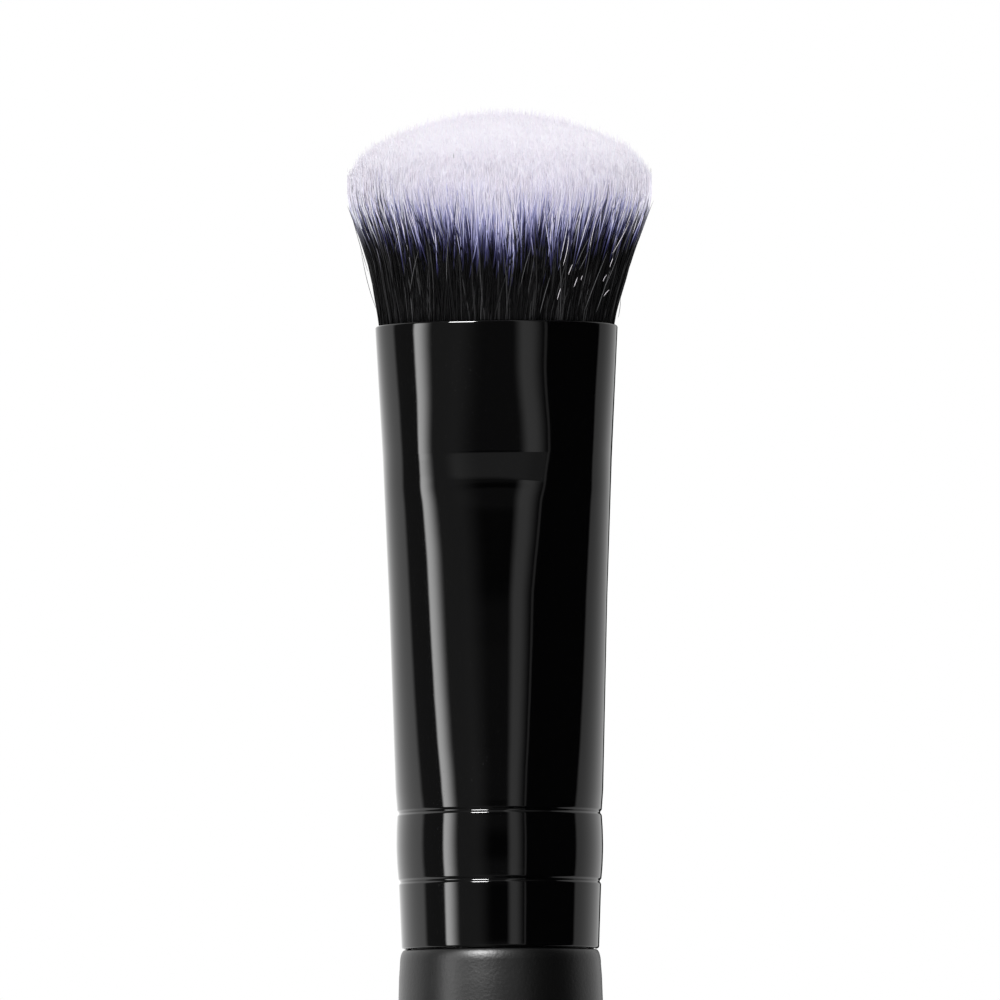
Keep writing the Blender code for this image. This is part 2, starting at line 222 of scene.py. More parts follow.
# Panels and flags that gloss sees, in degrees. Four numbers say where a light begins, is full, is last
# full and ends, and two say where it begins and is full. ACROSS counts from the camera's side, negative
# to the left, and UP from the horizon.
LEFT_STRIP_ACROSS, LEFT_STRIP_UP = (-67.5, -64, -63.5, -46.5), (-22, -12, 20, 32)
RIGHT_STRIP_ACROSS, RIGHT_STRIP_UP = (7, 14, 17, 29), (-10.3, -9.3)
THIN_STRIP, THIN_STRIP_ACROSS = 0.3, (27.5, 28.5, 29.5, 30.5)
LOW_PANEL, LOW_PANEL_ACROSS, LOW_PANEL_UP = 0.205, (-38, -23, 26, 30), (-30, -26, -13, -9)
LOW_PANEL_SLOPE = 0.07
VEIL, VEIL_ACROSS, VEIL_GAP_UP = 0.055, (-40, -8, 10, 20), (-7, -2, 2.5, 8)
HAZE, HAZE_ACROSS, HAZE_LOSS, HAZE_LOSS_ACROSS = 0.2, (-7, -28), 0.085, (-50, -66)
LEFT_PAPER, LEFT_PAPER_ACROSS, LEFT_PAPER_GAIN, LEFT_GAIN_ACROSS = 1.05, (-92, -100), 0.3, (-110, -150)
RIGHT_PAPER, RIGHT_PAPER_ACROSS, RIGHT_PAPER_GAIN, RIGHT_GAIN_ACROSS = 0.5, (93, 98), 0.38, (97, 145)
SHADE_ACROSS = (160, 163)
CEILING, CEILING_UP = 0.3, (50, 75)
FILL_LOSS, FILL_LOSS_UP = 0.25, (10, 60)  # the even light is weaker above
SOFTBOX_SIZE, SOFTBOX_DISTANCE, SOFTBOX_AIM = 0.38, 1.3, 0.12
FLOOR_RADIUS, FLOOR_SEEN, FLOOR_WHITE = 6.0, 0.12, 0.6  # the floor turns white between the last two


class Value:
    """One output of a shader node, which takes part in arithmetic."""

    def __init__(self, nodes, socket):
        self.nodes, self.socket = nodes, socket

    def __add__(self, other):
        return self.nodes.math("ADD", self, other)

    def __radd__(self, other):
        return self.nodes.math("ADD", other, self)

    def __sub__(self, other):
        return self.nodes.math("SUBTRACT", self, other)

    def __rsub__(self, other):
        return self.nodes.math("SUBTRACT", other, self)

    def __mul__(self, other):
        return self.nodes.math("MULTIPLY", self, other)

    def __rmul__(self, other):
        return self.nodes.math("MULTIPLY", other, self)

    def __neg__(self):
        return self.nodes.math("MULTIPLY", self, -1.0)

    def clamped(self, start, end):
        """0 at start and 1 at end, smooth between them, whichever of the two is larger."""
        settings = {"interpolation_type": "SMOOTHSTEP"}
        sockets = {"Value": self, "From Min": start, "From Max": end}
        return self.nodes.node("ShaderNodeMapRange", settings, sockets)

    def between(self, low, low_full, high_full, high):
        """1 from low_full to high_full, falling smoothly to 0 at low and at high."""
        return self.clamped(low, low_full) * self.clamped(high, high_full)


class Nodes:
    """The node tree of one material or world."""

    def __init__(self, owner):
        owner.use_nodes = True
        self.tree = owner.node_tree
        self.tree.nodes.clear()

    def node(self, kind, settings=(), sockets=(), output=0):
        """Adds a node: its settings first, then the values or links of its sockets."""
        made = self.tree.nodes.new(kind)
        for name, value in dict(settings).items():
            if name == "stops":
                self.set_stops(made.color_ramp, value)
            else:
                setattr(made, name, value)
        for name, value in dict(sockets).items():
            if isinstance(value, Value):
                self.tree.links.new(value.socket, made.inputs[name])
            else:
                made.inputs[name].default_value = value
        return Value(self, made.outputs[output]) if len(made.outputs) else None

    def set_stops(self, ramp, stops):
        while len(ramp.elements) > 1:
            ramp.elements.remove(ramp.elements[-1])
        for index, (place, color) in enumerate(stops):
            stop = ramp.elements[0] if index == 0 else ramp.elements.new(place)
            stop.position, stop.color = place, (*color, 1.0)

    def math(self, operation, *values):
        return self.node("ShaderNodeMath", {"operation": operation}, dict(enumerate(values)))

    def parts(self, vector):
        return [self.node("ShaderNodeSeparateXYZ", (), {0: vector}, output=part) for part in "XYZ"]

    def object_place(self, scale=(1.0, 1.0, 1.0)):
        place = self.node("ShaderNodeTexCoord", output="Object")
        return self.node("ShaderNodeMapping", (), {"Vector": place, "Scale": scale})

    def noise(self, place, scale, detail=2.0):
        return self.node("ShaderNodeTexNoise", (), {"Vector": place, "Scale": scale, "Detail": detail})

    def mix_colors(self, share, first, second):
        settings = {"data_type": "RGBA"}
        return self.node("ShaderNodeMix", settings, {0: share, 6: first, 7: second}, output=2)

    def tinted(self, color, tint):
        settings = {"data_type": "RGBA", "blend_type": "MULTIPLY"}
        return self.node("ShaderNodeMix", settings, {0: 1.0, 6: color, 7: rgba(tint)}, output=2)

    def bump(self, height, distance, normal=None):
        sockets = {"Height": height, "Distance": distance, "Strength": 1.0}
        if normal:
            sockets["Normal"] = normal
        return self.node("ShaderNodeBump", (), sockets)

    def surface(self, sockets):
        shader = self.node("ShaderNodeBsdfPrincipled", (), sockets)
        self.node("ShaderNodeOutputMaterial", (), {"Surface": shader})


def rgba(color, share=1.0):
    return (*(channel * share for channel in color), 1.0)


def new_material(name, color):
    material = bpy.data.materials.new(name)
    material.diffuse_color = rgba(color)
    return material


def blend(start, end, share):
    return start + (end - start) * share


def interpolate(stations, place):
    """Reads a value off a list of (place, value) pairs, straight between them."""
    for (low, low_value), (high, high_value) in zip(stations, stations[1:]):
        if place <= high:
            return blend(low_value, high_value, (place - low) / (high - low))
    return stations[-1][1]


def rounded(reading, place, reach, samples=8):
    """A reading averaged over a reach to both sides, which rounds its corners."""
    steps = [place + reach * (step / samples - 1) for step in range(2 * samples + 1)]
    return sum(reading(step) for step in steps) / len(steps)


# Ferrule


def groove_depth(height, settings):
    """How deep the rolled grooves cut at a height above the foot, in mm."""
    depth = 0.0
    for middle in (LOWER_GROOVE, UPPER_GROOVE):
        share = abs(height - middle) / (settings.groove_height / MM / 2)
        if share < 1:
            depth = settings.groove_depth / MM * (0.5 + 0.5 * math.cos(share * math.pi))
    return depth


def plain_width(height):
    return interpolate(WIDTHS, height)


def plain_depth(height):
    return interpolate(WIDTHS, height) * interpolate(DEPTH_SHARES, height)


def plain_exponent(height):
    return interpolate(EXPONENTS, height)


def pressed_section(height):
    """Half depth in mm, and superellipse exponent, at a height above the foot."""
    reach = min(ROUNDING_REACH, CREASE_REACH + CREASE_EASE * abs(height - CREASE_HEIGHT))
    return rounded(plain_depth, height, reach) / 2, rounded(plain_exponent, height, ROUNDING_REACH)


def superellipse_point(angle, exponent):
    x, y = math.cos(angle), math.sin(angle)
    size = (abs(x) ** exponent + abs(y) ** exponent) ** (1 / exponent)
    return x / size, y / size


def steps_between(low, high, spacing):
    count = max(1, round(abs(high - low) / spacing))
    return [blend(low, high, step / count) for step in range(count)]


def ferrule_heights(edge):
    """Heights of the outer rings, close together where the surface turns."""
    heights = []
    spans = (  # from, to and the rings' spacing, in mm
        (edge, LOWER_GROOVE - GROOVE_MARGIN, 0.3),
        (LOWER_GROOVE - GROOVE_MARGIN, LOWER_GROOVE + GROOVE_MARGIN, 0.03),
        (LOWER_GROOVE + GROOVE_MARGIN, UPPER_GROOVE - GROOVE_MARGIN, 0.15),
        (UPPER_GROOVE - GROOVE_MARGIN, UPPER_GROOVE + GROOVE_MARGIN, 0.03),
        (UPPER_GROOVE + GROOVE_MARGIN, 11.0, 0.12),
        (11.0, CREASE_HEIGHT - 0.8, 0.3),
        (CREASE_HEIGHT - 0.8, CREASE_HEIGHT + 0.8, 0.05),
        (CREASE_HEIGHT + 0.8, FERRULE_LENGTH - edge, 0.4),
    )
    for low, high, spacing in spans:
        heights += steps_between(low, high, spacing)
    return heights + [FERRULE_LENGTH - edge]


def arc(center, radius, start, end, steps=6):
    """Points of a rounding, as (inset, height) in mm, from one angle to another in degrees."""
    points = []
    for step in range(steps + 1):
        angle = math.radians(blend(start, end, step / steps))
        points.append((center[0] - radius * math.cos(angle), center[1] + radius * math.sin(angle)))
    return points


def spin(profile, closed, steps=ROUND_SIDES):
    """Turns a profile of (radius, height) points about Z and merges its poles."""
    bm = bmesh.new()
    verts = [bm.verts.new((radius, 0.0, height)) for radius, height in profile]
    pairs = list(zip(verts, verts[1:]))
    if closed:
        pairs.append((verts[-1], verts[0]))
    edges = [bm.edges.new(pair) for pair in pairs]
    bmesh.ops.spin(
        bm,
        geom=verts + edges,
        cent=(0.0, 0.0, 0.0),
        axis=(0.0, 0.0, 1.0),
        angle=math.tau,
        steps=steps,
        use_merge=True,
    )
    bmesh.ops.remove_doubles(bm, verts=bm.verts[:], dist=MERGE_DISTANCE)
    bmesh.ops.recalc_face_normals(bm, faces=bm.faces[:])
    return bm


def add_piece(name, mesh_or_bm, material, replaced):
    """Makes a mesh a piece that rides on the brush and stands for a solid."""
    if isinstance(mesh_or_bm, bmesh.types.BMesh):
        mesh = bpy.data.meshes.new(name)
        mesh_or_bm.to_mesh(mesh)
        mesh_or_bm.free()
    else:
        mesh = mesh_or_bm
    mesh.materials.clear()
    mesh.materials.append(material)
    mesh.shade_smooth()
    piece = bpy.data.objects.new(name, mesh)
    bpy.context.scene.collection.objects.link(piece)
    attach(piece, "root")
    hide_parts(replaced)


def ferrule_bm(settings):
    """The tube as a closed round shell, then drawn in at its grooves and pressed oval."""
    wall, edge = settings.wall / MM, settings.edge_rounding / MM
    top = FERRULE_LENGTH - edge
    outside = arc((edge, edge), edge, -90, 0)[:-1]
    outside += [(0.0, height) for height in ferrule_heights(edge)]
    outside += arc((edge, top), edge, 0, 90)[1:]
    inside = arc((edge, top), edge, 90, 0)
    inside += [(0.0, height) for height in reversed(steps_between(edge, top, 1.5)[1:])]
    inside += arc((edge, edge), edge, 0, -90)
    insets = outside + [(wall - depth, height) for depth, height in inside]
    radius = WIDTHS[0][1] / 2
    bm = spin([(radius - inset, height) for inset, height in insets], closed=True)
    sections = {}
    for vert in bm.verts:
        height = vert.co.z
        key = round(height, 4)
        if key not in sections:
            sections[key] = (rounded(plain_width, height, 0.3) / 2, *pressed_section(height))
        half_width, half_depth, exponent = sections[key]
        inset = radius - math.hypot(vert.co.x, vert.co.y)
        inset += groove_depth(height, settings)
        if vert.co.x > 0:
            exponent += interpolate(RIGHT_EXPONENTS, height)
        x, y = superellipse_point(math.atan2(vert.co.y, vert.co.x), exponent)
        place = Vector((x * (half_width - inset), y * (half_depth - inset), height))
        vert.co = place * MM + Vector((0.0, 0.0, FERRULE_FOOT))
    return bm


def gloss_lacquer(settings):
    """Black gloss lacquer: a faint ripple in the film and a few dust specks."""
    material = new_material("ferrule_gloss_lacquer", settings.color)
    nodes = Nodes(material)
    place = nodes.object_place()
    ripple = nodes.noise(place, 900.0)
    specks = nodes.noise(place, 9000.0, 1.0).clamped(0.70, 0.78)
    smears = nodes.noise(place, 160.0, 3.0).clamped(0.35, 0.75)
    nodes.surface(
        {
            "Base Color": nodes.mix_colors(specks, rgba(settings.color), rgba(settings.color, 2.5)),
            "Roughness": settings.roughness + 0.02 * smears + 0.12 * specks,
            "IOR": 1.5,
            "Normal": nodes.bump(ripple, 0.0000012),
        }
    )
    return material


# Handle


def handle_profile(settings, ferrule):
    """The outer side of the handle from the tenon's top down to the butt's middle, in mm."""
    foot = FERRULE_FOOT / MM
    length = foot - settings.gap / MM
    tenon = TENON_TOP / MM

    def tenon_radius(height):
        return pressed_section(height)[0] - groove_depth(height, ferrule) - BORE_INSET

    top = tenon - foot
    groove_low = blend(GLUE_GROOVE_FROM, top, GLUE_GROOVE_LOW)
    groove_high = blend(GLUE_GROOVE_FROM, top, GLUE_GROOVE_HIGH)
    groove_radius = tenon_radius(groove_low) - GLUE_GROOVE_DEPTH
    points = [(0.0, tenon), (tenon_radius(top) - TENON_BEVEL, tenon)]
    points.append((tenon_radius(top - TENON_BEVEL), tenon - TENON_BEVEL))
    points += [(tenon_radius(groove_high), foot + groove_high), (groove_radius, foot + groove_high)]
    points += [(groove_radius, foot + groove_low), (tenon_radius(groove_low), foot + groove_low)]
    for height in reversed(steps_between(0.0, groove_low, 0.25)):
        points.append((tenon_radius(height), foot + height))
    shoulder = settings.shoulder_diameter / MM / 2
    drop, reach = settings.shoulder_drop / MM, settings.shoulder_inset / MM
    points.append((tenon_radius(0.0), length))
    for step in range(13):
        angle = step / 12 * math.pi / 2
        points.append((shoulder - reach * (1 - math.sin(angle)), length - drop * (1 - math.cos(angle))))
    belly = settings.belly_diameter / MM / 2
    butt = settings.butt_diameter / MM / 2
    belly_height = length - BELLY_BELOW
    for height in reversed(steps_between(BUTT_ROUNDING, length - drop, 0.8)):
        if height > belly_height:
            radius = blend(belly, shoulder, ((height - belly_height) / BELLY_BELOW) ** 2)
        else:
            radius = blend(butt, belly, math.sin(height / belly_height * math.pi / 2) ** TAPER_POWER)
        points.append((radius, height))
    end = points[-1][0]
    for step in range(1, 11):
        angle = step / 10 * math.pi / 2
        inset = BUTT_ROUNDING * (1 - math.cos(angle))
        points.append((end - inset, BUTT_ROUNDING * (1 - math.sin(angle))))
    return points + [(0.0, 0.0)]


def handle_bm(settings, ferrule):
    profile = handle_profile(settings, ferrule)
    return spin([(radius * MM, height * MM) for radius, height in profile], closed=False)


def satin_lacquer(settings):
    """Black satin lacquer on wood: a fine spray grain, and a slight polish where fingers rub."""
    material = new_material("handle_satin_lacquer", settings.color)
    nodes = Nodes(material)
    place = nodes.object_place()
    grain = nodes.noise(place, 5200.0, 3.0)
    orange_peel = nodes.noise(place, 1500.0)
    rubbed = nodes.noise(nodes.object_place((1.0, 1.0, 0.3)), 90.0).clamped(0.4, 0.7)
    dust = grain.clamped(0.4, 0.7)
    nodes.surface(
        {
            "Base Color": nodes.mix_colors(dust, rgba(settings.color), rgba(settings.color, 1.5)),
            "Roughness": settings.roughness - 0.04 * rubbed,
            "IOR": 1.5,
            "Normal": nodes.bump(orange_peel, 0.000004, nodes.bump(grain, 0.00001)),
        }
    )
    return material


# Bristles


def plain_half_width(height):
    return interpolate(HEAD_HALF_WIDTHS, max(height, HALVES_FROM))


def head_halves(height):
    """Half the head's width and depth in mm at a height above the mouth."""
    half_width = rounded(plain_half_width, height, ROUNDING_REACH, 3)
    share = (half_width - MOUTH_HALF_WIDTH) / (FULL_HALF_WIDTH - MOUTH_HALF_WIDTH)
    return half_width, blend(MOUTH_HALF_DEPTH, FULL_HALF_DEPTH, share)


HALVES = [head_halves(HALVES_FROM + step * HALVES_STEP) for step in range(HALVES_COUNT)]


def spread(u, v, height):
    """Where a place in the unit disc lies at a height above the mouth, in mm."""
    place = min(max((height - HALVES_FROM) / HALVES_STEP, 0.0), HALVES_COUNT - 1.001)
    low = int(place)
    half_width = blend(HALVES[low][0], HALVES[low + 1][0], place - low)
    half_depth = blend(HALVES[low][1], HALVES[low + 1][1], place - low)
    shift = HEAD_SHIFT * min(1.0, max(0.0, height / SHIFTED_FROM))
    return u * half_width + shift, v * half_depth, height


def dome_height(u, v):
    """Height of the tips above the mouth, in mm."""
    return HEAD_HEIGHT - SIDE_DROP * u**2 - FACE_DROP * v**2 - RIM_DROP * math.hypot(u, v) ** RIM_POWER


def fade_height(u, v):
    """Height above the mouth at which the pale end turns dark, in mm, before each filament's own shift."""
    side_rise = FADE_SIDE_RISE * abs(u) ** FADE_SIDE_POWER - FADE_SIDE_EASE * u**4
    return FADE_MIDDLE + side_rise + FADE_INNER_RISE * (1 - min(1.0, math.hypot(u, v)))


class Filament:
    """One filament: points in mm, thickness shares, height of its colour change, tint, and paleness that
    paints light on the head's sides
    """

    def __init__(self, points, shares, fade, tint, pale=1.0):
        self.points, self.shares, self.fade, self.tint, self.pale = points, shares, fade, tint, pale


def patches(u, v, scale, layer):
    """Smooth noise over the unit disc, the same at each run, with a pattern of its own for each layer."""
    return noise.noise(Vector((u * scale, v * scale, layer)))


def fade_shift(u, v, draw, settings):
    """How far one filament's colour change lies above the usual height, in mm."""
    shift = patches(u, v, *TUFT_PATCHES) * settings.fade_tufts / MM
    shift += patches(u, v, *DRIFT_PATCHES) * settings.fade_drift / MM
    shift -= draw.random() ** 5 * settings.fade_tail / MM
    return shift + draw.gauss(0.0, settings.fade_scatter / MM)


def grow(u, v, low, rings, draw, settings, lean=None, outside=0.0, crowding=None):
    """A filament from a height above the mouth to the dome, which leans and crowds as its neighbours do.

    outside is how far a loose filament swells out beyond the others, as a share, and 0 for the rest.
    """
    crowd_u, crowd_v = patches(u, v, *CROWDING_ACROSS), patches(u, v, *CROWDING_BACK)
    if lean is None:
        lean = settings.stray_lean if draw.random() < settings.stray_share else settings.lean
    if crowding is None:
        crowding = settings.crowding
    tip_u = u + crowd_u * crowding + draw.gauss(0.0, lean)
    tip_v = v + crowd_v * crowding + draw.gauss(0.0, lean)
    reach = math.hypot(tip_u, tip_v)
    if reach > 1.0:
        tip_u, tip_v = tip_u / reach, tip_v / reach
    tip = dome_height(tip_u, tip_v) + draw.uniform(-1.0, 1.0) * settings.tip_scatter / MM
    tip += draw.random() ** 6 * settings.tip_fuzz / MM
    bend, phase = (1.0, draw.uniform(0.0, math.tau)) if outside else (INNER_BEND, 0.0)
    heights = [blend(low, tip - TIP_CAP, ring / (rings - 3)) for ring in range(rings - 2)]
    points, shares = [], []
    for height in [low - ROOT_CAP] + heights + [tip]:
        share = min(1.0, max(0.0, height / tip))
        along = share**bend
        wave = settings.wave * math.sin(share * WAVE_TURN + phase) if outside else 0.0
        swell = 1.0 + outside * math.sin(share * math.pi)
        across, back = blend(u, tip_u, along) + wave, blend(v, tip_v, along)
        points.append(spread(across * swell, back * swell, height))
        tapered = min(1.0, (tip - height) / (settings.taper / MM))
        shares.append(blend(settings.tip_share, 1.0, tapered))
    shares[0], shares[-1] = 0.0, 0.0
    shift = fade_shift(u, v, draw, settings)
    tint = draw.randrange(FIRST_SMOKY)
    if draw.random() < settings.smoky_share * abs(tip_u) ** SMOKY_POWER:
        tint = FIRST_SMOKY + tint % SMOKY_TINTS
    # Painted light: filaments towards the head's sides turn pale sooner, standing for light that shines
    # through the sides' edge.
    pale = 1.0 + settings.painted_side_light * abs(tip_u) ** SIDE_LIGHT_POWER
    return Filament(points, shares, fade_height(tip_u, tip_v) + shift, tint, pale)


def filament_tubes(name, filaments, diameter):
    """A mesh of tubes of four sides along the filaments, open at their pointed ends."""
    curve = bpy.data.curves.new(name, "CURVE")
    curve.dimensions = "3D"
    curve.bevel_depth = diameter / 2
    curve.bevel_resolution = 0
    rings = len(filaments[0].points)
    for filament in filaments:
        spline = curve.splines.new("POLY")
        spline.points.add(rings - 1)
        places = np.ones((rings, 4))
        places[:, :3] = np.array(filament.points) * MM + (0.0, 0.0, FERRULE_MOUTH)
        spline.points.foreach_set("co", places.ravel())
        spline.points.foreach_set("radius", filament.shares)
        spline.use_smooth = True
    holder = bpy.data.objects.new(name, curve)
    bpy.context.scene.collection.objects.link(holder)
    mesh = bpy.data.meshes.new_from_object(holder.evaluated_get(bpy.context.evaluated_depsgraph_get()))
    bpy.data.objects.remove(holder)
    bpy.data.curves.remove(curve)
    mesh.name = name
    return mesh


def write_map(mesh, filaments):
    """Each filament's tint as its column in the tubes' own map, and its colour change as the height."""
    heights = np.array([[point[2] for point in filament.points] for filament in filaments])
    fades = np.array([filament.fade for filament in filaments])
    side_light_stretches = np.array([filament.pale for filament in filaments])
    tints = np.array([filament.tint for filament in filaments])
    shape = (*heights.shape, TUBE_SIDES)
    across = (tints[:, None, None] + 0.1 + np.arange(TUBE_SIDES) / TUBE_SIDES) / TINTS
    along = heights - fades[:, None]
    # Painted side light: above the colour change the map runs faster to the pale end on the head's sides.
    along = np.where(along > 0, along * side_light_stretches[:, None], along)
    along = np.clip(0.5 + along / FADE_SPAN, 0.001, 0.999)[:, :, None]
    places = np.stack([np.broadcast_to(part, shape).ravel() for part in (across, along)], axis=1)
    corners = np.empty(len(mesh.loops), int)
    mesh.loops.foreach_get("vertex_index", corners)
    while mesh.uv_layers:
        mesh.uv_layers.remove(mesh.uv_layers[0])
    layer = mesh.uv_layers.new(name="OFBake")
    layer.data.foreach_set("uv", places[corners].ravel())


def filament_mesh(name, filaments, diameter):
    """Tubes along the filaments with their map, closed at both ends."""
    mesh = filament_tubes(name, filaments, diameter)
    write_map(mesh, filaments)
    bm = bmesh.new()
    bm.from_mesh(mesh)
    bmesh.ops.remove_doubles(bm, verts=bm.verts[:], dist=MERGE_DISTANCE)
    bm.to_mesh(mesh)
    bm.free()
    return mesh


def fade_stops(settings):
    """Colour along a filament: black root, navy, periwinkle, pale tip."""

    def place(millimetres):
        return 0.5 + millimetres / FADE_SPAN

    return (
        (0.0, tuple(settings.root_color)),
        (place(-2.0), tuple(settings.root_color)),
        (place(-0.9), tuple(settings.navy_color)),
        (place(0.1), tuple(settings.middle_color)),
        (place(0.8), tuple(settings.lilac_color)),
        (place(2.4), tuple(settings.pale_color)),
        (place(4.0), tuple(settings.tip_color)),
        (place(7.5), tuple(settings.end_color)),
    )


def filament_material(settings):
    """Dyed synthetic filament: its own map carries the colour change, each column with its own tint; some
    black roots carry a painted sheen.
    """
    material = new_material("filament_dyed", settings.tip_color)
    nodes = Nodes(material)
    u, v, _ = nodes.parts(nodes.node("ShaderNodeUVMap", {"uv_map": "OFBake"}))
    column = nodes.math("FLOOR", u * TINTS)
    tint = nodes.node("ShaderNodeTexWhiteNoise", {"noise_dimensions": "1D"}, {"W": column})
    warm = nodes.node("ShaderNodeTexWhiteNoise", {"noise_dimensions": "1D"}, {"W": column + 200.0})
    color = nodes.node("ShaderNodeValToRGB", {"stops": fade_stops(settings)}, {0: v})
    smoky = nodes.math("GREATER_THAN", column, FIRST_SMOKY - 0.5) * v.clamped(0.68, 0.55)
    color = nodes.node("ShaderNodeHueSaturation", (), {"Saturation": 1.0 - 0.7 * smoky, "Color": color})
    cool_end, warm_end = nodes.tinted(color, settings.cool_tint), nodes.tinted(color, settings.warm_tint)
    warmer = nodes.mix_colors(warm, cool_end, warm_end)
    shaded = nodes.mix_colors(tint * 0.06, warmer, nodes.tinted(warmer, (0.6, 0.6, 0.63)))
    # Painted sheen: some black root ends get a lighter grey base colour that stands for highlights along
    # them.
    painted_sheen = nodes.math("POWER", warm, 7.0) * v.clamped(0.47, 0.4)
    shaded = nodes.mix_colors(painted_sheen, shaded, rgba(settings.painted_sheen_color))
    grey = nodes.math("GREATER_THAN", column, FIRST_GREY - 0.5)
    shaded = nodes.mix_colors(grey, shaded, rgba(settings.grey_color))
    rough = settings.roughness + 0.12 * tint + 0.3 * v.clamped(0.45, 0.6)
    nodes.surface({"Base Color": shaded, "Roughness": rough, "IOR": 1.5, "Specular IOR Level": 0.08})
    return material


def core_material(settings):
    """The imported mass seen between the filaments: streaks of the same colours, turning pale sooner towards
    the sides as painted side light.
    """
    material = new_material("filament_mass", settings.root_color)
    nodes = Nodes(material)
    x, _, z = nodes.parts(nodes.node("ShaderNodeTexCoord", output="Object"))
    streaks = nodes.noise(nodes.object_place((1.0, 0.15, 0.05)), 5000.0)
    tufts = nodes.noise(nodes.object_place((1.0, 0.3, 0.1)), 1500.0)
    side = nodes.math("ABSOLUTE", x * (1 / MM / FULL_HALF_WIDTH))
    rise = nodes.math("POWER", side, CORE_FADE_POWER) * CORE_FADE_RISE
    above = (z - FERRULE_MOUTH) * (1 / MM) - rise - CORE_FADE_HEIGHT
    # Painted side light: above the colour change the sides run sooner to the pale end.
    side_light_gain = nodes.math("POWER", side, SIDE_LIGHT_POWER) * settings.painted_side_light
    side_lit_height = above + nodes.math("MAXIMUM", above, 0.0) * side_light_gain
    height = side_lit_height * (1 / FADE_SPAN) + 0.5 + (streaks - 0.5) * 0.12 + (tufts - 0.5) * 0.12
    color = nodes.node("ShaderNodeValToRGB", {"stops": fade_stops(settings)}, {0: height})
    shaded = nodes.mix_colors(streaks, nodes.tinted(color, (0.93, 0.93, 0.94)), color)
    nodes.surface(
        {
            "Base Color": shaded,
            "Roughness": 0.8,
            "Specular IOR Level": 0.1,
            "Normal": nodes.bump(streaks, 0.00002),
        }
    )
    return material


def core_bm():
    """A closed dome of packed filaments that fills the head below its tips."""
    profile = [(0.0, 0.0)] + [(CORE_REACH, share) for share in steps_between(0.0, 1.0, CORE_SIDE_STEP)]
    profile += [(radius, 1.0) for radius in steps_between(CORE_REACH, 0.0, CORE_TOP_STEP)] + [(0.0, 1.0)]
    bm = spin(profile, closed=False, steps=CORE_SIDES)
    for vert in bm.verts:
        u, v, share = vert.co
        below = CORE_BELOW + CORE_SLOPE * (math.hypot(CORE_SIDE_SHARE * u, v) / CORE_REACH) ** SLOPE_POWER
        below += CORE_EDGE * (math.hypot(u, v) / CORE_REACH) ** EDGE_POWER
        height = blend(ROOT_HEIGHT, dome_height(u, v) - below, share)
        vert.co = Vector(spread(u, v, height)) * MM + Vector((0.0, 0.0, FERRULE_MOUTH))
    return bm


def bristle_groups(settings):
    """Every filament, in groups that stay small enough for one piece each."""
    draw = random.Random(settings.seed)
    groups = {"front": [], "back": [], "tips_front": [], "tips_back": [], "tips_left": [], "tips_right": []}
    for index in range(settings.count):
        reach = math.sqrt((index + 0.5) / settings.count)
        angle = index * GOLDEN_ANGLE + draw.uniform(-0.3, 0.3) / math.sqrt(index + 1)
        u, v = reach * math.cos(angle), reach * math.sin(angle)
        side = "front" if v < 0 else "back"
        if reach > settings.full_from:
            groups[side].append(grow(u, v, ROOT_HEIGHT, WHOLE_RINGS, draw, settings))
            continue
        if abs(u) > SIDE_FROM:
            side = "left" if u < 0 else "right"
        low = dome_height(u, v) - TIP_LENGTH
        filament = grow(u, v, low, TIP_RINGS, draw, settings, settings.tip_lean, crowding=0.0)
        groups["tips_" + side].append(filament)
    return groups


def loose_filaments(settings):
    """The coarser filaments that lie over the others all round and cross them here and there."""
    draw = random.Random(settings.seed + 1)
    filaments = []
    for index in range(settings.loose_count):
        angle = (index + draw.uniform(-0.5, 0.5)) / settings.loose_count * math.tau
        reach = draw.uniform(*LOOSE_REACH)
        u, v = reach * math.cos(angle), reach * math.sin(angle)
        swell = draw.uniform(*LOOSE_SWELL)
        filaments.append(grow(u, v, ROOT_HEIGHT, LOOSE_RINGS, draw, settings, settings.loose_lean, swell))
        if draw.random() < settings.grey_share:
            filaments[-1].tint = TINTS - 1 - draw.randrange(GREY_TINTS)
    return filaments


def lone_filaments():
    """Single filaments that catch the eye: strays at both sides, and light ones that lie over the black; the
    short light ones are painted glints.
    """
    filaments = []
    along = [ring / (LONE_RINGS - 1) for ring in range(LONE_RINGS)]
    shares = [abs(math.sin(share * math.pi)) ** 0.5 for share in along]
    shares[0], shares[-1] = 0.0, 0.0
    for low, middle, high, pale in LONE_FILAMENTS:
        points = []
        for share in along:
            x, height = (
                (1 - share) ** 2 * low[axis] + 2 * share * (1 - share) * middle[axis] + share**2 * high[axis]
                for axis in range(2)
            )
            middle_x = spread(0.0, 0.0, height)[0]
            edge_x, half_depth, _ = spread(1.0, 1.0, height)
            u = min(1.0, abs(x - middle_x) / (edge_x - middle_x))
            outside = LONE_OUTSIDE + LONE_SIDE_OUTSIDE * u**2
            points.append((x, -half_depth * (1 - u**2) ** 0.5 - outside, height))
        # Pale lone filaments: long ones are light filaments, short ones are painted glints on the black.
        fade, tint = (PALE_FADE, PALE_AND_GLINT_TINT) if pale else (0.0, FIRST_GREY)
        filaments.append(Filament(points, shares, fade, tint))
    return filaments


# Inner pieces


def cloudy_resin(name, color, bubble_scale):
    """Cured resin: cloudy patches and small bubbles."""
    material = new_material(name, color)
    nodes = Nodes(material)
    place = nodes.object_place()
    clouds = nodes.noise(place, bubble_scale, 3.0)
    bubbles = nodes.noise(place, bubble_scale * 6, 1.0).clamped(0.68, 0.74)
    nodes.surface(
        {
            "Base Color": nodes.mix_colors(clouds, rgba(color, 0.75), rgba(color, 1.15)),
            "Roughness": 0.22 + 0.25 * bubbles,
            "Normal": nodes.bump(bubbles, -0.00002),
        }
    )
    return material


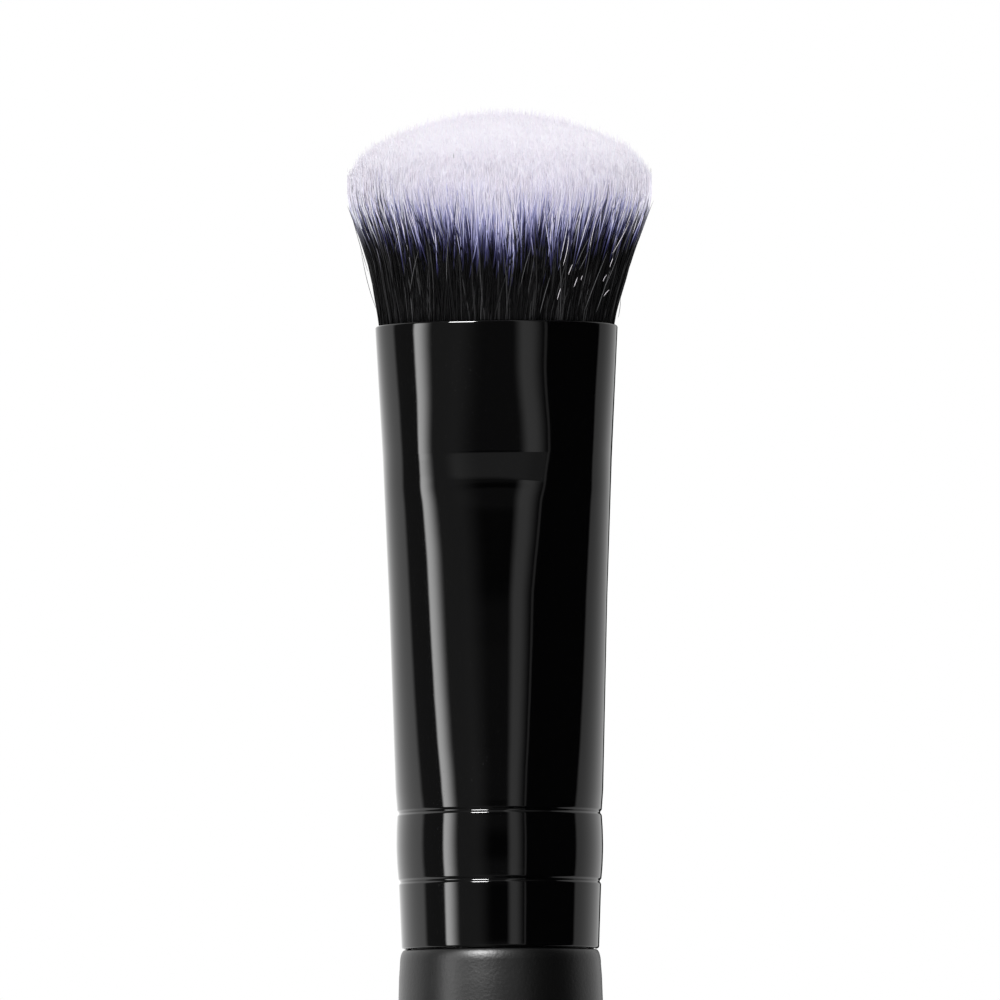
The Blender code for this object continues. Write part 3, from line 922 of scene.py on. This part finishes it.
def packed_roots(name, color):
    """Packed filaments seen from the side: fine upright streaks."""
    material = new_material(name, color)
    nodes = Nodes(material)
    streaks = nodes.noise(nodes.object_place((1.0, 1.0, 0.04)), 6000.0)
    nodes.surface(
        {
            "Base Color": nodes.mix_colors(streaks, rgba(color, 0.6), rgba(color, 2.0)),
            "Roughness": 0.6 - 0.2 * streaks,
            "Normal": nodes.bump(streaks, 0.00004),
        }
    )
    return material


# Stage


def direction_to(azimuth, elevation):
    """Unit direction at an azimuth from the camera's side, positive to the right, and an elevation."""
    flat = math.cos(elevation)
    return Vector((math.sin(azimuth) * flat, -math.cos(azimuth) * flat, math.sin(elevation)))


def studio_world(settings):
    """White all round to the eye; gloss sees black flags and lit panels in front, white paper behind."""
    world = bpy.data.worlds.new("studio")
    nodes = Nodes(world)
    x, y, z = nodes.parts(nodes.node("ShaderNodeTexCoord", output="Generated"))
    azimuth = nodes.math("ARCTAN2", x, -y) * math.degrees(1)
    elevation = nodes.math("ARCSINE", z) * math.degrees(1)
    left_strip = azimuth.between(*LEFT_STRIP_ACROSS) * elevation.between(*LEFT_STRIP_UP)
    right_strip = azimuth.between(*RIGHT_STRIP_ACROSS) * elevation.clamped(*RIGHT_STRIP_UP)
    strips = left_strip * settings.left_strip + right_strip * settings.right_strip
    strips = strips + azimuth.between(*THIN_STRIP_ACROSS) * THIN_STRIP
    haze = azimuth.clamped(*HAZE_ACROSS) * (HAZE - HAZE_LOSS * azimuth.clamped(*HAZE_LOSS_ACROSS))
    haze = haze * azimuth.clamped(*reversed(LEFT_PAPER_ACROSS))
    left_paper = LEFT_PAPER + LEFT_PAPER_GAIN * azimuth.clamped(*LEFT_GAIN_ACROSS)
    right_paper = RIGHT_PAPER + RIGHT_PAPER_GAIN * azimuth.clamped(*RIGHT_GAIN_ACROSS)
    paper = azimuth.clamped(*LEFT_PAPER_ACROSS) * left_paper
    paper = paper + azimuth.clamped(*RIGHT_PAPER_ACROSS) * right_paper * (1 - azimuth.clamped(*SHADE_ACROSS))
    veil = azimuth.between(*VEIL_ACROSS) * (1 - elevation.between(*VEIL_GAP_UP)) * VEIL
    sloping = elevation - azimuth * LOW_PANEL_SLOPE
    low_panel = azimuth.between(*LOW_PANEL_ACROSS) * sloping.between(*LOW_PANEL_UP) * LOW_PANEL
    ceiling = elevation.clamped(*CEILING_UP) * CEILING
    mirrored = (strips + haze + paper + veil) * (1 - ceiling) + ceiling + low_panel
    camera = nodes.node("ShaderNodeLightPath", output="Is Camera Ray")
    through = nodes.node("ShaderNodeLightPath", output="Is Transmission Ray")
    glossy = nodes.node("ShaderNodeLightPath", output="Is Glossy Ray")
    seen = nodes.math("MAXIMUM", camera, through)
    ambient = settings.fill * (1 - FILL_LOSS * elevation.clamped(*FILL_LOSS_UP))
    strength = seen + (1 - seen) * (glossy * mirrored + (1 - glossy) * ambient)
    background = nodes.node("ShaderNodeBackground", (), {"Color": rgba((1, 1, 1)), "Strength": strength})
    nodes.node("ShaderNodeOutputWorld", (), {"Surface": background})
    world.cycles.sampling_method = "NONE"
    bpy.context.scene.world = world


def add_softbox(name, power, azimuth, elevation):
    """A square softbox that faces the ferrule."""
    light = bpy.data.lights.new(name, "AREA")
    light.shape, light.size, light.energy = "SQUARE", SOFTBOX_SIZE, power
    lamp = bpy.data.objects.new(name, light)
    direction = direction_to(azimuth, elevation)
    lamp.location = Vector((0.0, 0.0, SOFTBOX_AIM)) + direction * SOFTBOX_DISTANCE
    lamp.rotation_mode = "QUATERNION"
    lamp.rotation_quaternion = direction.to_track_quat("Z", "Y")
    lamp.visible_camera = False
    bpy.context.scene.collection.objects.link(lamp)
    return lamp


def add_floor(settings):
    """A pale floor that keeps the shadow near the brush and fades into the white behind."""
    bm = bmesh.new()
    bmesh.ops.create_circle(bm, cap_ends=True, segments=64, radius=FLOOR_RADIUS)
    material = new_material("floor_paper", settings.floor_color)
    nodes = Nodes(material)
    place = nodes.node("ShaderNodeTexCoord", output="Object")
    distance = nodes.node("ShaderNodeVectorMath", {"operation": "LENGTH"}, {0: place}, output="Value")
    camera = nodes.node("ShaderNodeLightPath", output="Is Camera Ray")
    fibres = nodes.noise(place, 1400.0, 3.0)
    color = nodes.mix_colors(fibres, rgba(settings.floor_color, 0.985), rgba(settings.floor_color))
    paper = nodes.node("ShaderNodeBsdfPrincipled", (), {"Base Color": color, "Roughness": 0.9})
    white = nodes.node("ShaderNodeEmission", (), {"Color": rgba((1, 1, 1)), "Strength": 1.0})
    far = distance.clamped(FLOOR_SEEN, FLOOR_WHITE) * camera
    mixed = nodes.node("ShaderNodeMixShader", (), {0: far, 1: paper, 2: white})
    nodes.node("ShaderNodeOutputMaterial", (), {"Surface": mixed})
    mesh = bpy.data.meshes.new("floor")
    bm.to_mesh(mesh)
    bm.free()
    mesh.materials.append(material)
    floor = bpy.data.objects.new("floor", mesh)
    floor.visible_glossy = False
    bpy.context.scene.collection.objects.link(floor)


def add_camera(settings):
    """The photograph's viewing angle: a long lens a little below the head, rolled slightly."""
    data = bpy.data.cameras.new("camera")
    camera = bpy.data.objects.new("camera", data)
    data.lens = data.sensor_width / 2 / math.tan(settings.view_angle / 2)
    data.clip_start, data.clip_end = 0.01, 20.0
    camera.location = (settings.camera_side, -settings.camera_distance, settings.camera_height)
    aim = Vector((settings.camera_side, 0.0, settings.aim_height)) - camera.location
    camera.rotation_mode = "QUATERNION"
    roll = Matrix.Rotation(settings.camera_roll, 3, aim.normalized()).to_quaternion()
    camera.rotation_quaternion = roll @ aim.to_track_quat("-Z", "Y")
    bpy.context.scene.collection.objects.link(camera)
    bpy.context.scene.camera = camera


# Settings


def length_property(name, description, default):
    return FloatProperty(name=name, description=description, default=default, precision=6, unit="LENGTH")


def share_property(name, description, default):
    return FloatProperty(name=name, description=description, default=default, min=0.0, subtype="FACTOR")


def number_property(name, description, default):
    return FloatProperty(name=name, description=description, default=default, min=0.0)


def power_property(name, description, default):
    return FloatProperty(name=name, description=description, default=default, min=0.0, unit="POWER")


def angle_property(name, description, degrees):
    return FloatProperty(name=name, description=description, default=math.radians(degrees), subtype="ANGLE")


def color_property(name, description, default):
    return FloatVectorProperty(
        name=name, description=description, default=default, min=0.0, max=1.0, subtype="COLOR"
    )


class FerruleSettings(PropertyGroup):
    """Sizes and finish of the ferrule"""

    wall: length_property("Wall", "Thickness of the tube's wall", 0.00035)
    edge_rounding: length_property("Edge rounding", "Radius of the rounding at foot and mouth", 0.00014)
    groove_height: length_property("Groove height", "Height of a rolled groove", 0.00042)
    groove_depth: length_property("Groove depth", "Depth of a rolled groove", 0.0001)
    color: color_property("Lacquer", "Colour of the gloss lacquer", (0.0008, 0.0008, 0.0009))
    roughness: share_property("Roughness", "Roughness of the gloss lacquer", 0.045)


class HandleSettings(PropertyGroup):
    """Sizes and finish of the handle"""

    shoulder_diameter: length_property("Shoulder", "Diameter just below the shoulder's rounding", 0.01256)
    gap: length_property("Gap", "Gap between the ferrule's foot and the shoulder", 0.00006)
    shoulder_drop: length_property("Rounding height", "Height of the shoulder's rounding", 0.0009)
    shoulder_inset: length_property("Rounding inset", "How far the shoulder's rounding draws in", 0.00028)
    belly_diameter: length_property("Belly", "Largest diameter", 0.0131)
    butt_diameter: length_property("Butt", "Diameter that the taper runs down to", 0.0074)
    color: color_property("Lacquer", "Colour of the satin lacquer", (0.0008, 0.0008, 0.0009))
    roughness: share_property("Roughness", "Roughness of the satin lacquer", 0.38)


class BristleSettings(PropertyGroup):
    """Number, sizes and colours of the filaments"""

    count: IntProperty(name="Filaments", description="Number of filaments", default=24000, min=100)
    loose_count: IntProperty(name="Loose filaments", description="Coarser ones outside", default=2200, min=1)
    loose_diameter: length_property("Loose diameter", "Thickness of a loose filament", 0.000085)
    loose_lean: share_property("Loose lean", "Sideways lean of loose filaments, in half widths", 0.105)
    wave: share_property("Wave", "Sideways wave of loose filaments, in half widths", 0.015)
    grey_share: share_property("Grey share", "Share of loose filaments that are grey", 0.006)
    # The single light filaments include short pale dashes that are painted glints.
    lone_diameter: length_property("Lone diameter", "Thickness of the single light filaments", 0.000036)
    grey_color: color_property("Grey", "Colour of the grey filaments", (0.13, 0.13, 0.135))
    seed: IntProperty(name="Seed", description="Seed of the filaments' scatter", default=5)
    full_from: share_property("Full length from", "Share of the radius from which filaments are whole", 0.89)
    diameter: length_property("Diameter", "Thickness of a filament", 0.00009)
    tip_share: share_property("Tip share", "Thickness at the tip, of the whole", 0.25)
    taper: length_property("Taper", "Length of the taper at the tip", 0.0045)
    tip_scatter: length_property("Tip scatter", "How far tips stand off the dome", 0.0001)
    tip_fuzz: length_property("Tip fuzz", "How far the longest tips stand off the dome", 0.0005)
    lean: share_property("Lean", "Usual sideways lean, in half widths", 0.022)
    tip_lean: share_property("Tip lean", "Sideways lean of the filaments inside the head", 0.014)
    stray_lean: share_property("Stray lean", "Sideways lean of stray filaments, in half widths", 0.07)
    stray_share: share_property("Stray share", "Share of filaments that stray", 0.12)
    crowding: share_property("Crowding", "How far tufts draw together, in half widths", 0.014)
    fade_tufts: length_property("Tuft shift", "Shift of the colour change from tuft to tuft", 0.0015)
    fade_drift: length_property("Wide shift", "Shift of the colour change over wide patches", 0.0004)
    fade_scatter: length_property("Own shift", "Shift of the colour change of single filaments", 0.0006)
    fade_tail: length_property("Longest shift", "How far down the palest filaments reach", 0.0012)
    # Painted side light: how much sooner the filaments turn pale towards the head's sides.
    painted_side_light: number_property("Side paleness", "How much sooner filaments turn pale at the sides", 1.6)
    tip_color: color_property("Tips", "Colour of the tips", (0.925, 0.91, 0.965))
    end_color: color_property("Ends", "Colour of the very ends", (0.97, 0.96, 0.995))
    pale_color: color_property("Pale lilac", "Colour below the tips", (0.95, 0.935, 1.0))
    lilac_color: color_property("Lilac", "Colour where the tips begin to darken", (0.82, 0.81, 0.965))
    middle_color: color_property("Periwinkle", "Colour halfway", (0.45, 0.46, 0.74))
    navy_color: color_property("Navy", "Colour above the black", (0.052, 0.052, 0.145))
    root_color: color_property("Roots", "Colour of the root ends", (0.0035, 0.0035, 0.0038))
    # Painted sheen: this grey stands for highlights on the black root ends, not a colour the roots have.
    painted_sheen_color: color_property("Light roots", "Colour of the lightest roots", (0.05, 0.05, 0.052))
    warm_tint: color_property("Warm tint", "Tint of the warmest filaments", (1.0, 0.955, 0.975))
    cool_tint: color_property("Cool tint", "Tint of the coolest filaments", (0.96, 0.975, 1.0))
    smoky_share: share_property("Smoky share", "Share of greyer blues at the head's very sides", 0.85)
    roughness: share_property("Roughness", "Roughness of a filament", 0.34)


class StageSettings(PropertyGroup):
    """Lights, floor and camera"""

    fill: number_property("Fill", "Strength of the even light from all round", 1.1)
    left_strip: number_property("Left strip", "Strength of the tall panel at the left, in gloss", 7.4)
    right_strip: number_property("Right strip", "Strength of the dim panel at the right, in gloss", 0.68)
    key_power: power_property("Key power", "Power of the softbox that only gloss shows", 30.0)
    key_azimuth: angle_property("Key azimuth", "Place of the key softbox, negative to the left", -25.0)
    key_elevation: angle_property("Key elevation", "Height of the key softbox above the horizon", 33.0)
    side_power: power_property("Side power", "Power of each side softbox, which gloss doesn't show", 3.6)
    side_azimuth: angle_property("Side azimuth", "How far to either side the side softboxes stand", 70.0)
    side_elevation: angle_property("Side elevation", "Height of the side softboxes above the horizon", 20.0)
    floor_color: color_property("Floor", "Colour of the floor", (0.86, 0.86, 0.87))
    camera_distance: length_property("Camera distance", "Distance in front of the brush", 0.70)
    camera_height: length_property("Camera height", "Height of the camera", 0.0803)
    camera_side: length_property("Camera side", "Place of the camera along X", 0.00016)
    aim_height: length_property("Aim height", "Height that the camera looks at", 0.1255)
    view_angle: angle_property("View angle", "Angle that the picture covers", 5.11)
    camera_roll: angle_property("Roll", "Roll of the camera", 0.37)


class BrushSettings(PropertyGroup):
    """All settings of the brush"""

    ferrule: PointerProperty(type=FerruleSettings)
    handle: PointerProperty(type=HandleSettings)
    bristles: PointerProperty(type=BristleSettings)
    stage: PointerProperty(type=StageSettings)


# Operators


class BRUSH_OT_ferrule(Operator):
    """Builds the pressed tube with its rolled grooves"""

    bl_idname = "brush.ferrule"
    bl_label = "Ferrule"

    def execute(self, context):
        settings = context.scene.brush.ferrule
        add_piece("ferrule_shell", ferrule_bm(settings), gloss_lacquer(settings), "ferrule")
        return {"FINISHED"}


class BRUSH_OT_handle(Operator):
    """Turns the handle with its tenon"""

    bl_idname = "brush.handle"
    bl_label = "Handle"

    def execute(self, context):
        settings = context.scene.brush.handle
        bm = handle_bm(settings, context.scene.brush.ferrule)
        add_piece("handle_turned", bm, satin_lacquer(settings), "handle")
        return {"FINISHED"}


class BRUSH_OT_bristles(Operator):
    """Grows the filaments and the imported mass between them"""

    bl_idname = "brush.bristles"
    bl_label = "Bristles"

    def execute(self, context):
        settings = context.scene.brush.bristles
        add_piece("bristle_core", core_bm(), core_material(settings), "bristle_head")
        material = filament_material(settings)
        for side, filaments in bristle_groups(settings).items():
            mesh = filament_mesh("bristles_" + side, filaments, settings.diameter)
            add_piece("bristles_" + side, mesh, material, "bristle_head")
        mesh = filament_mesh("bristles_loose", loose_filaments(settings), settings.loose_diameter)
        add_piece("bristles_loose", mesh, material, "bristle_head")
        mesh = filament_mesh("bristles_lone", lone_filaments(), settings.lone_diameter)
        add_piece("bristles_lone", mesh, material, "bristle_head")
        return {"FINISHED"}


class BRUSH_OT_inside(Operator):
    """Finishes the pieces inside the ferrule"""

    bl_idname = "brush.inside"
    bl_label = "Inner pieces"

    def execute(self, context):
        finishes = {
            "tenon_adhesive": cloudy_resin("adhesive_cured", (0.62, 0.47, 0.22), 900.0),
            "root_epoxy": cloudy_resin("epoxy_cured", (0.5, 0.36, 0.16), 500.0),
            "bristle_roots": packed_roots("filament_roots_packed", (0.01, 0.01, 0.012)),
        }
        for node, material in finishes.items():
            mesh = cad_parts[node].data
            mesh.materials.clear()
            mesh.materials.append(material)
        return {"FINISHED"}


class BRUSH_OT_stage(Operator):
    """Sets the floor, the lights and the camera"""

    bl_idname = "brush.stage"
    bl_label = "Stage"

    def execute(self, context):
        settings = context.scene.brush.stage
        studio_world(settings)
        lamp = add_softbox("key_softbox", settings.key_power, settings.key_azimuth, settings.key_elevation)
        lamp.visible_diffuse = False
        for name, side in (("left_softbox", -1), ("right_softbox", 1)):
            azimuth = side * settings.side_azimuth
            lamp = add_softbox(name, settings.side_power, azimuth, settings.side_elevation)
            lamp.visible_glossy = False
        add_floor(settings)
        add_camera(settings)
        context.scene.view_settings.view_transform = "Standard"
        return {"FINISHED"}


class BRUSH_PT_panel(Panel):
    """Lists the brush's pieces and their settings"""

    bl_idname = "BRUSH_PT_panel"
    bl_label = "Concealer brush"
    bl_space_type = "VIEW_3D"
    bl_region_type = "UI"
    bl_category = "Brush"

    def draw(self, context):
        groups = (
            (BRUSH_OT_ferrule, "ferrule"),
            (BRUSH_OT_handle, "handle"),
            (BRUSH_OT_bristles, "bristles"),
            (BRUSH_OT_inside, None),
            (BRUSH_OT_stage, "stage"),
        )
        for operator, group in groups:
            box = self.layout.box()
            box.operator(operator.bl_idname)
            if group:
                settings = getattr(context.scene.brush, group)
                for name in settings.__annotations__:
                    box.prop(settings, name)


CLASSES = (
    FerruleSettings,
    HandleSettings,
    BristleSettings,
    StageSettings,
    BrushSettings,
    BRUSH_OT_ferrule,
    BRUSH_OT_handle,
    BRUSH_OT_bristles,
    BRUSH_OT_inside,
    BRUSH_OT_stage,
    BRUSH_PT_panel,
)


def register():
    for item in CLASSES:
        bpy.utils.register_class(item)
    bpy.types.Scene.brush = PointerProperty(type=BrushSettings)


def unregister():
    del bpy.types.Scene.brush
    for item in reversed(CLASSES):
        bpy.utils.unregister_class(item)


def main():
    register()
    bpy.ops.brush.ferrule()
    bpy.ops.brush.handle()
    bpy.ops.brush.bristles()
    bpy.ops.brush.inside()
    bpy.ops.brush.stage()


if __name__ == "__main__":
    main()
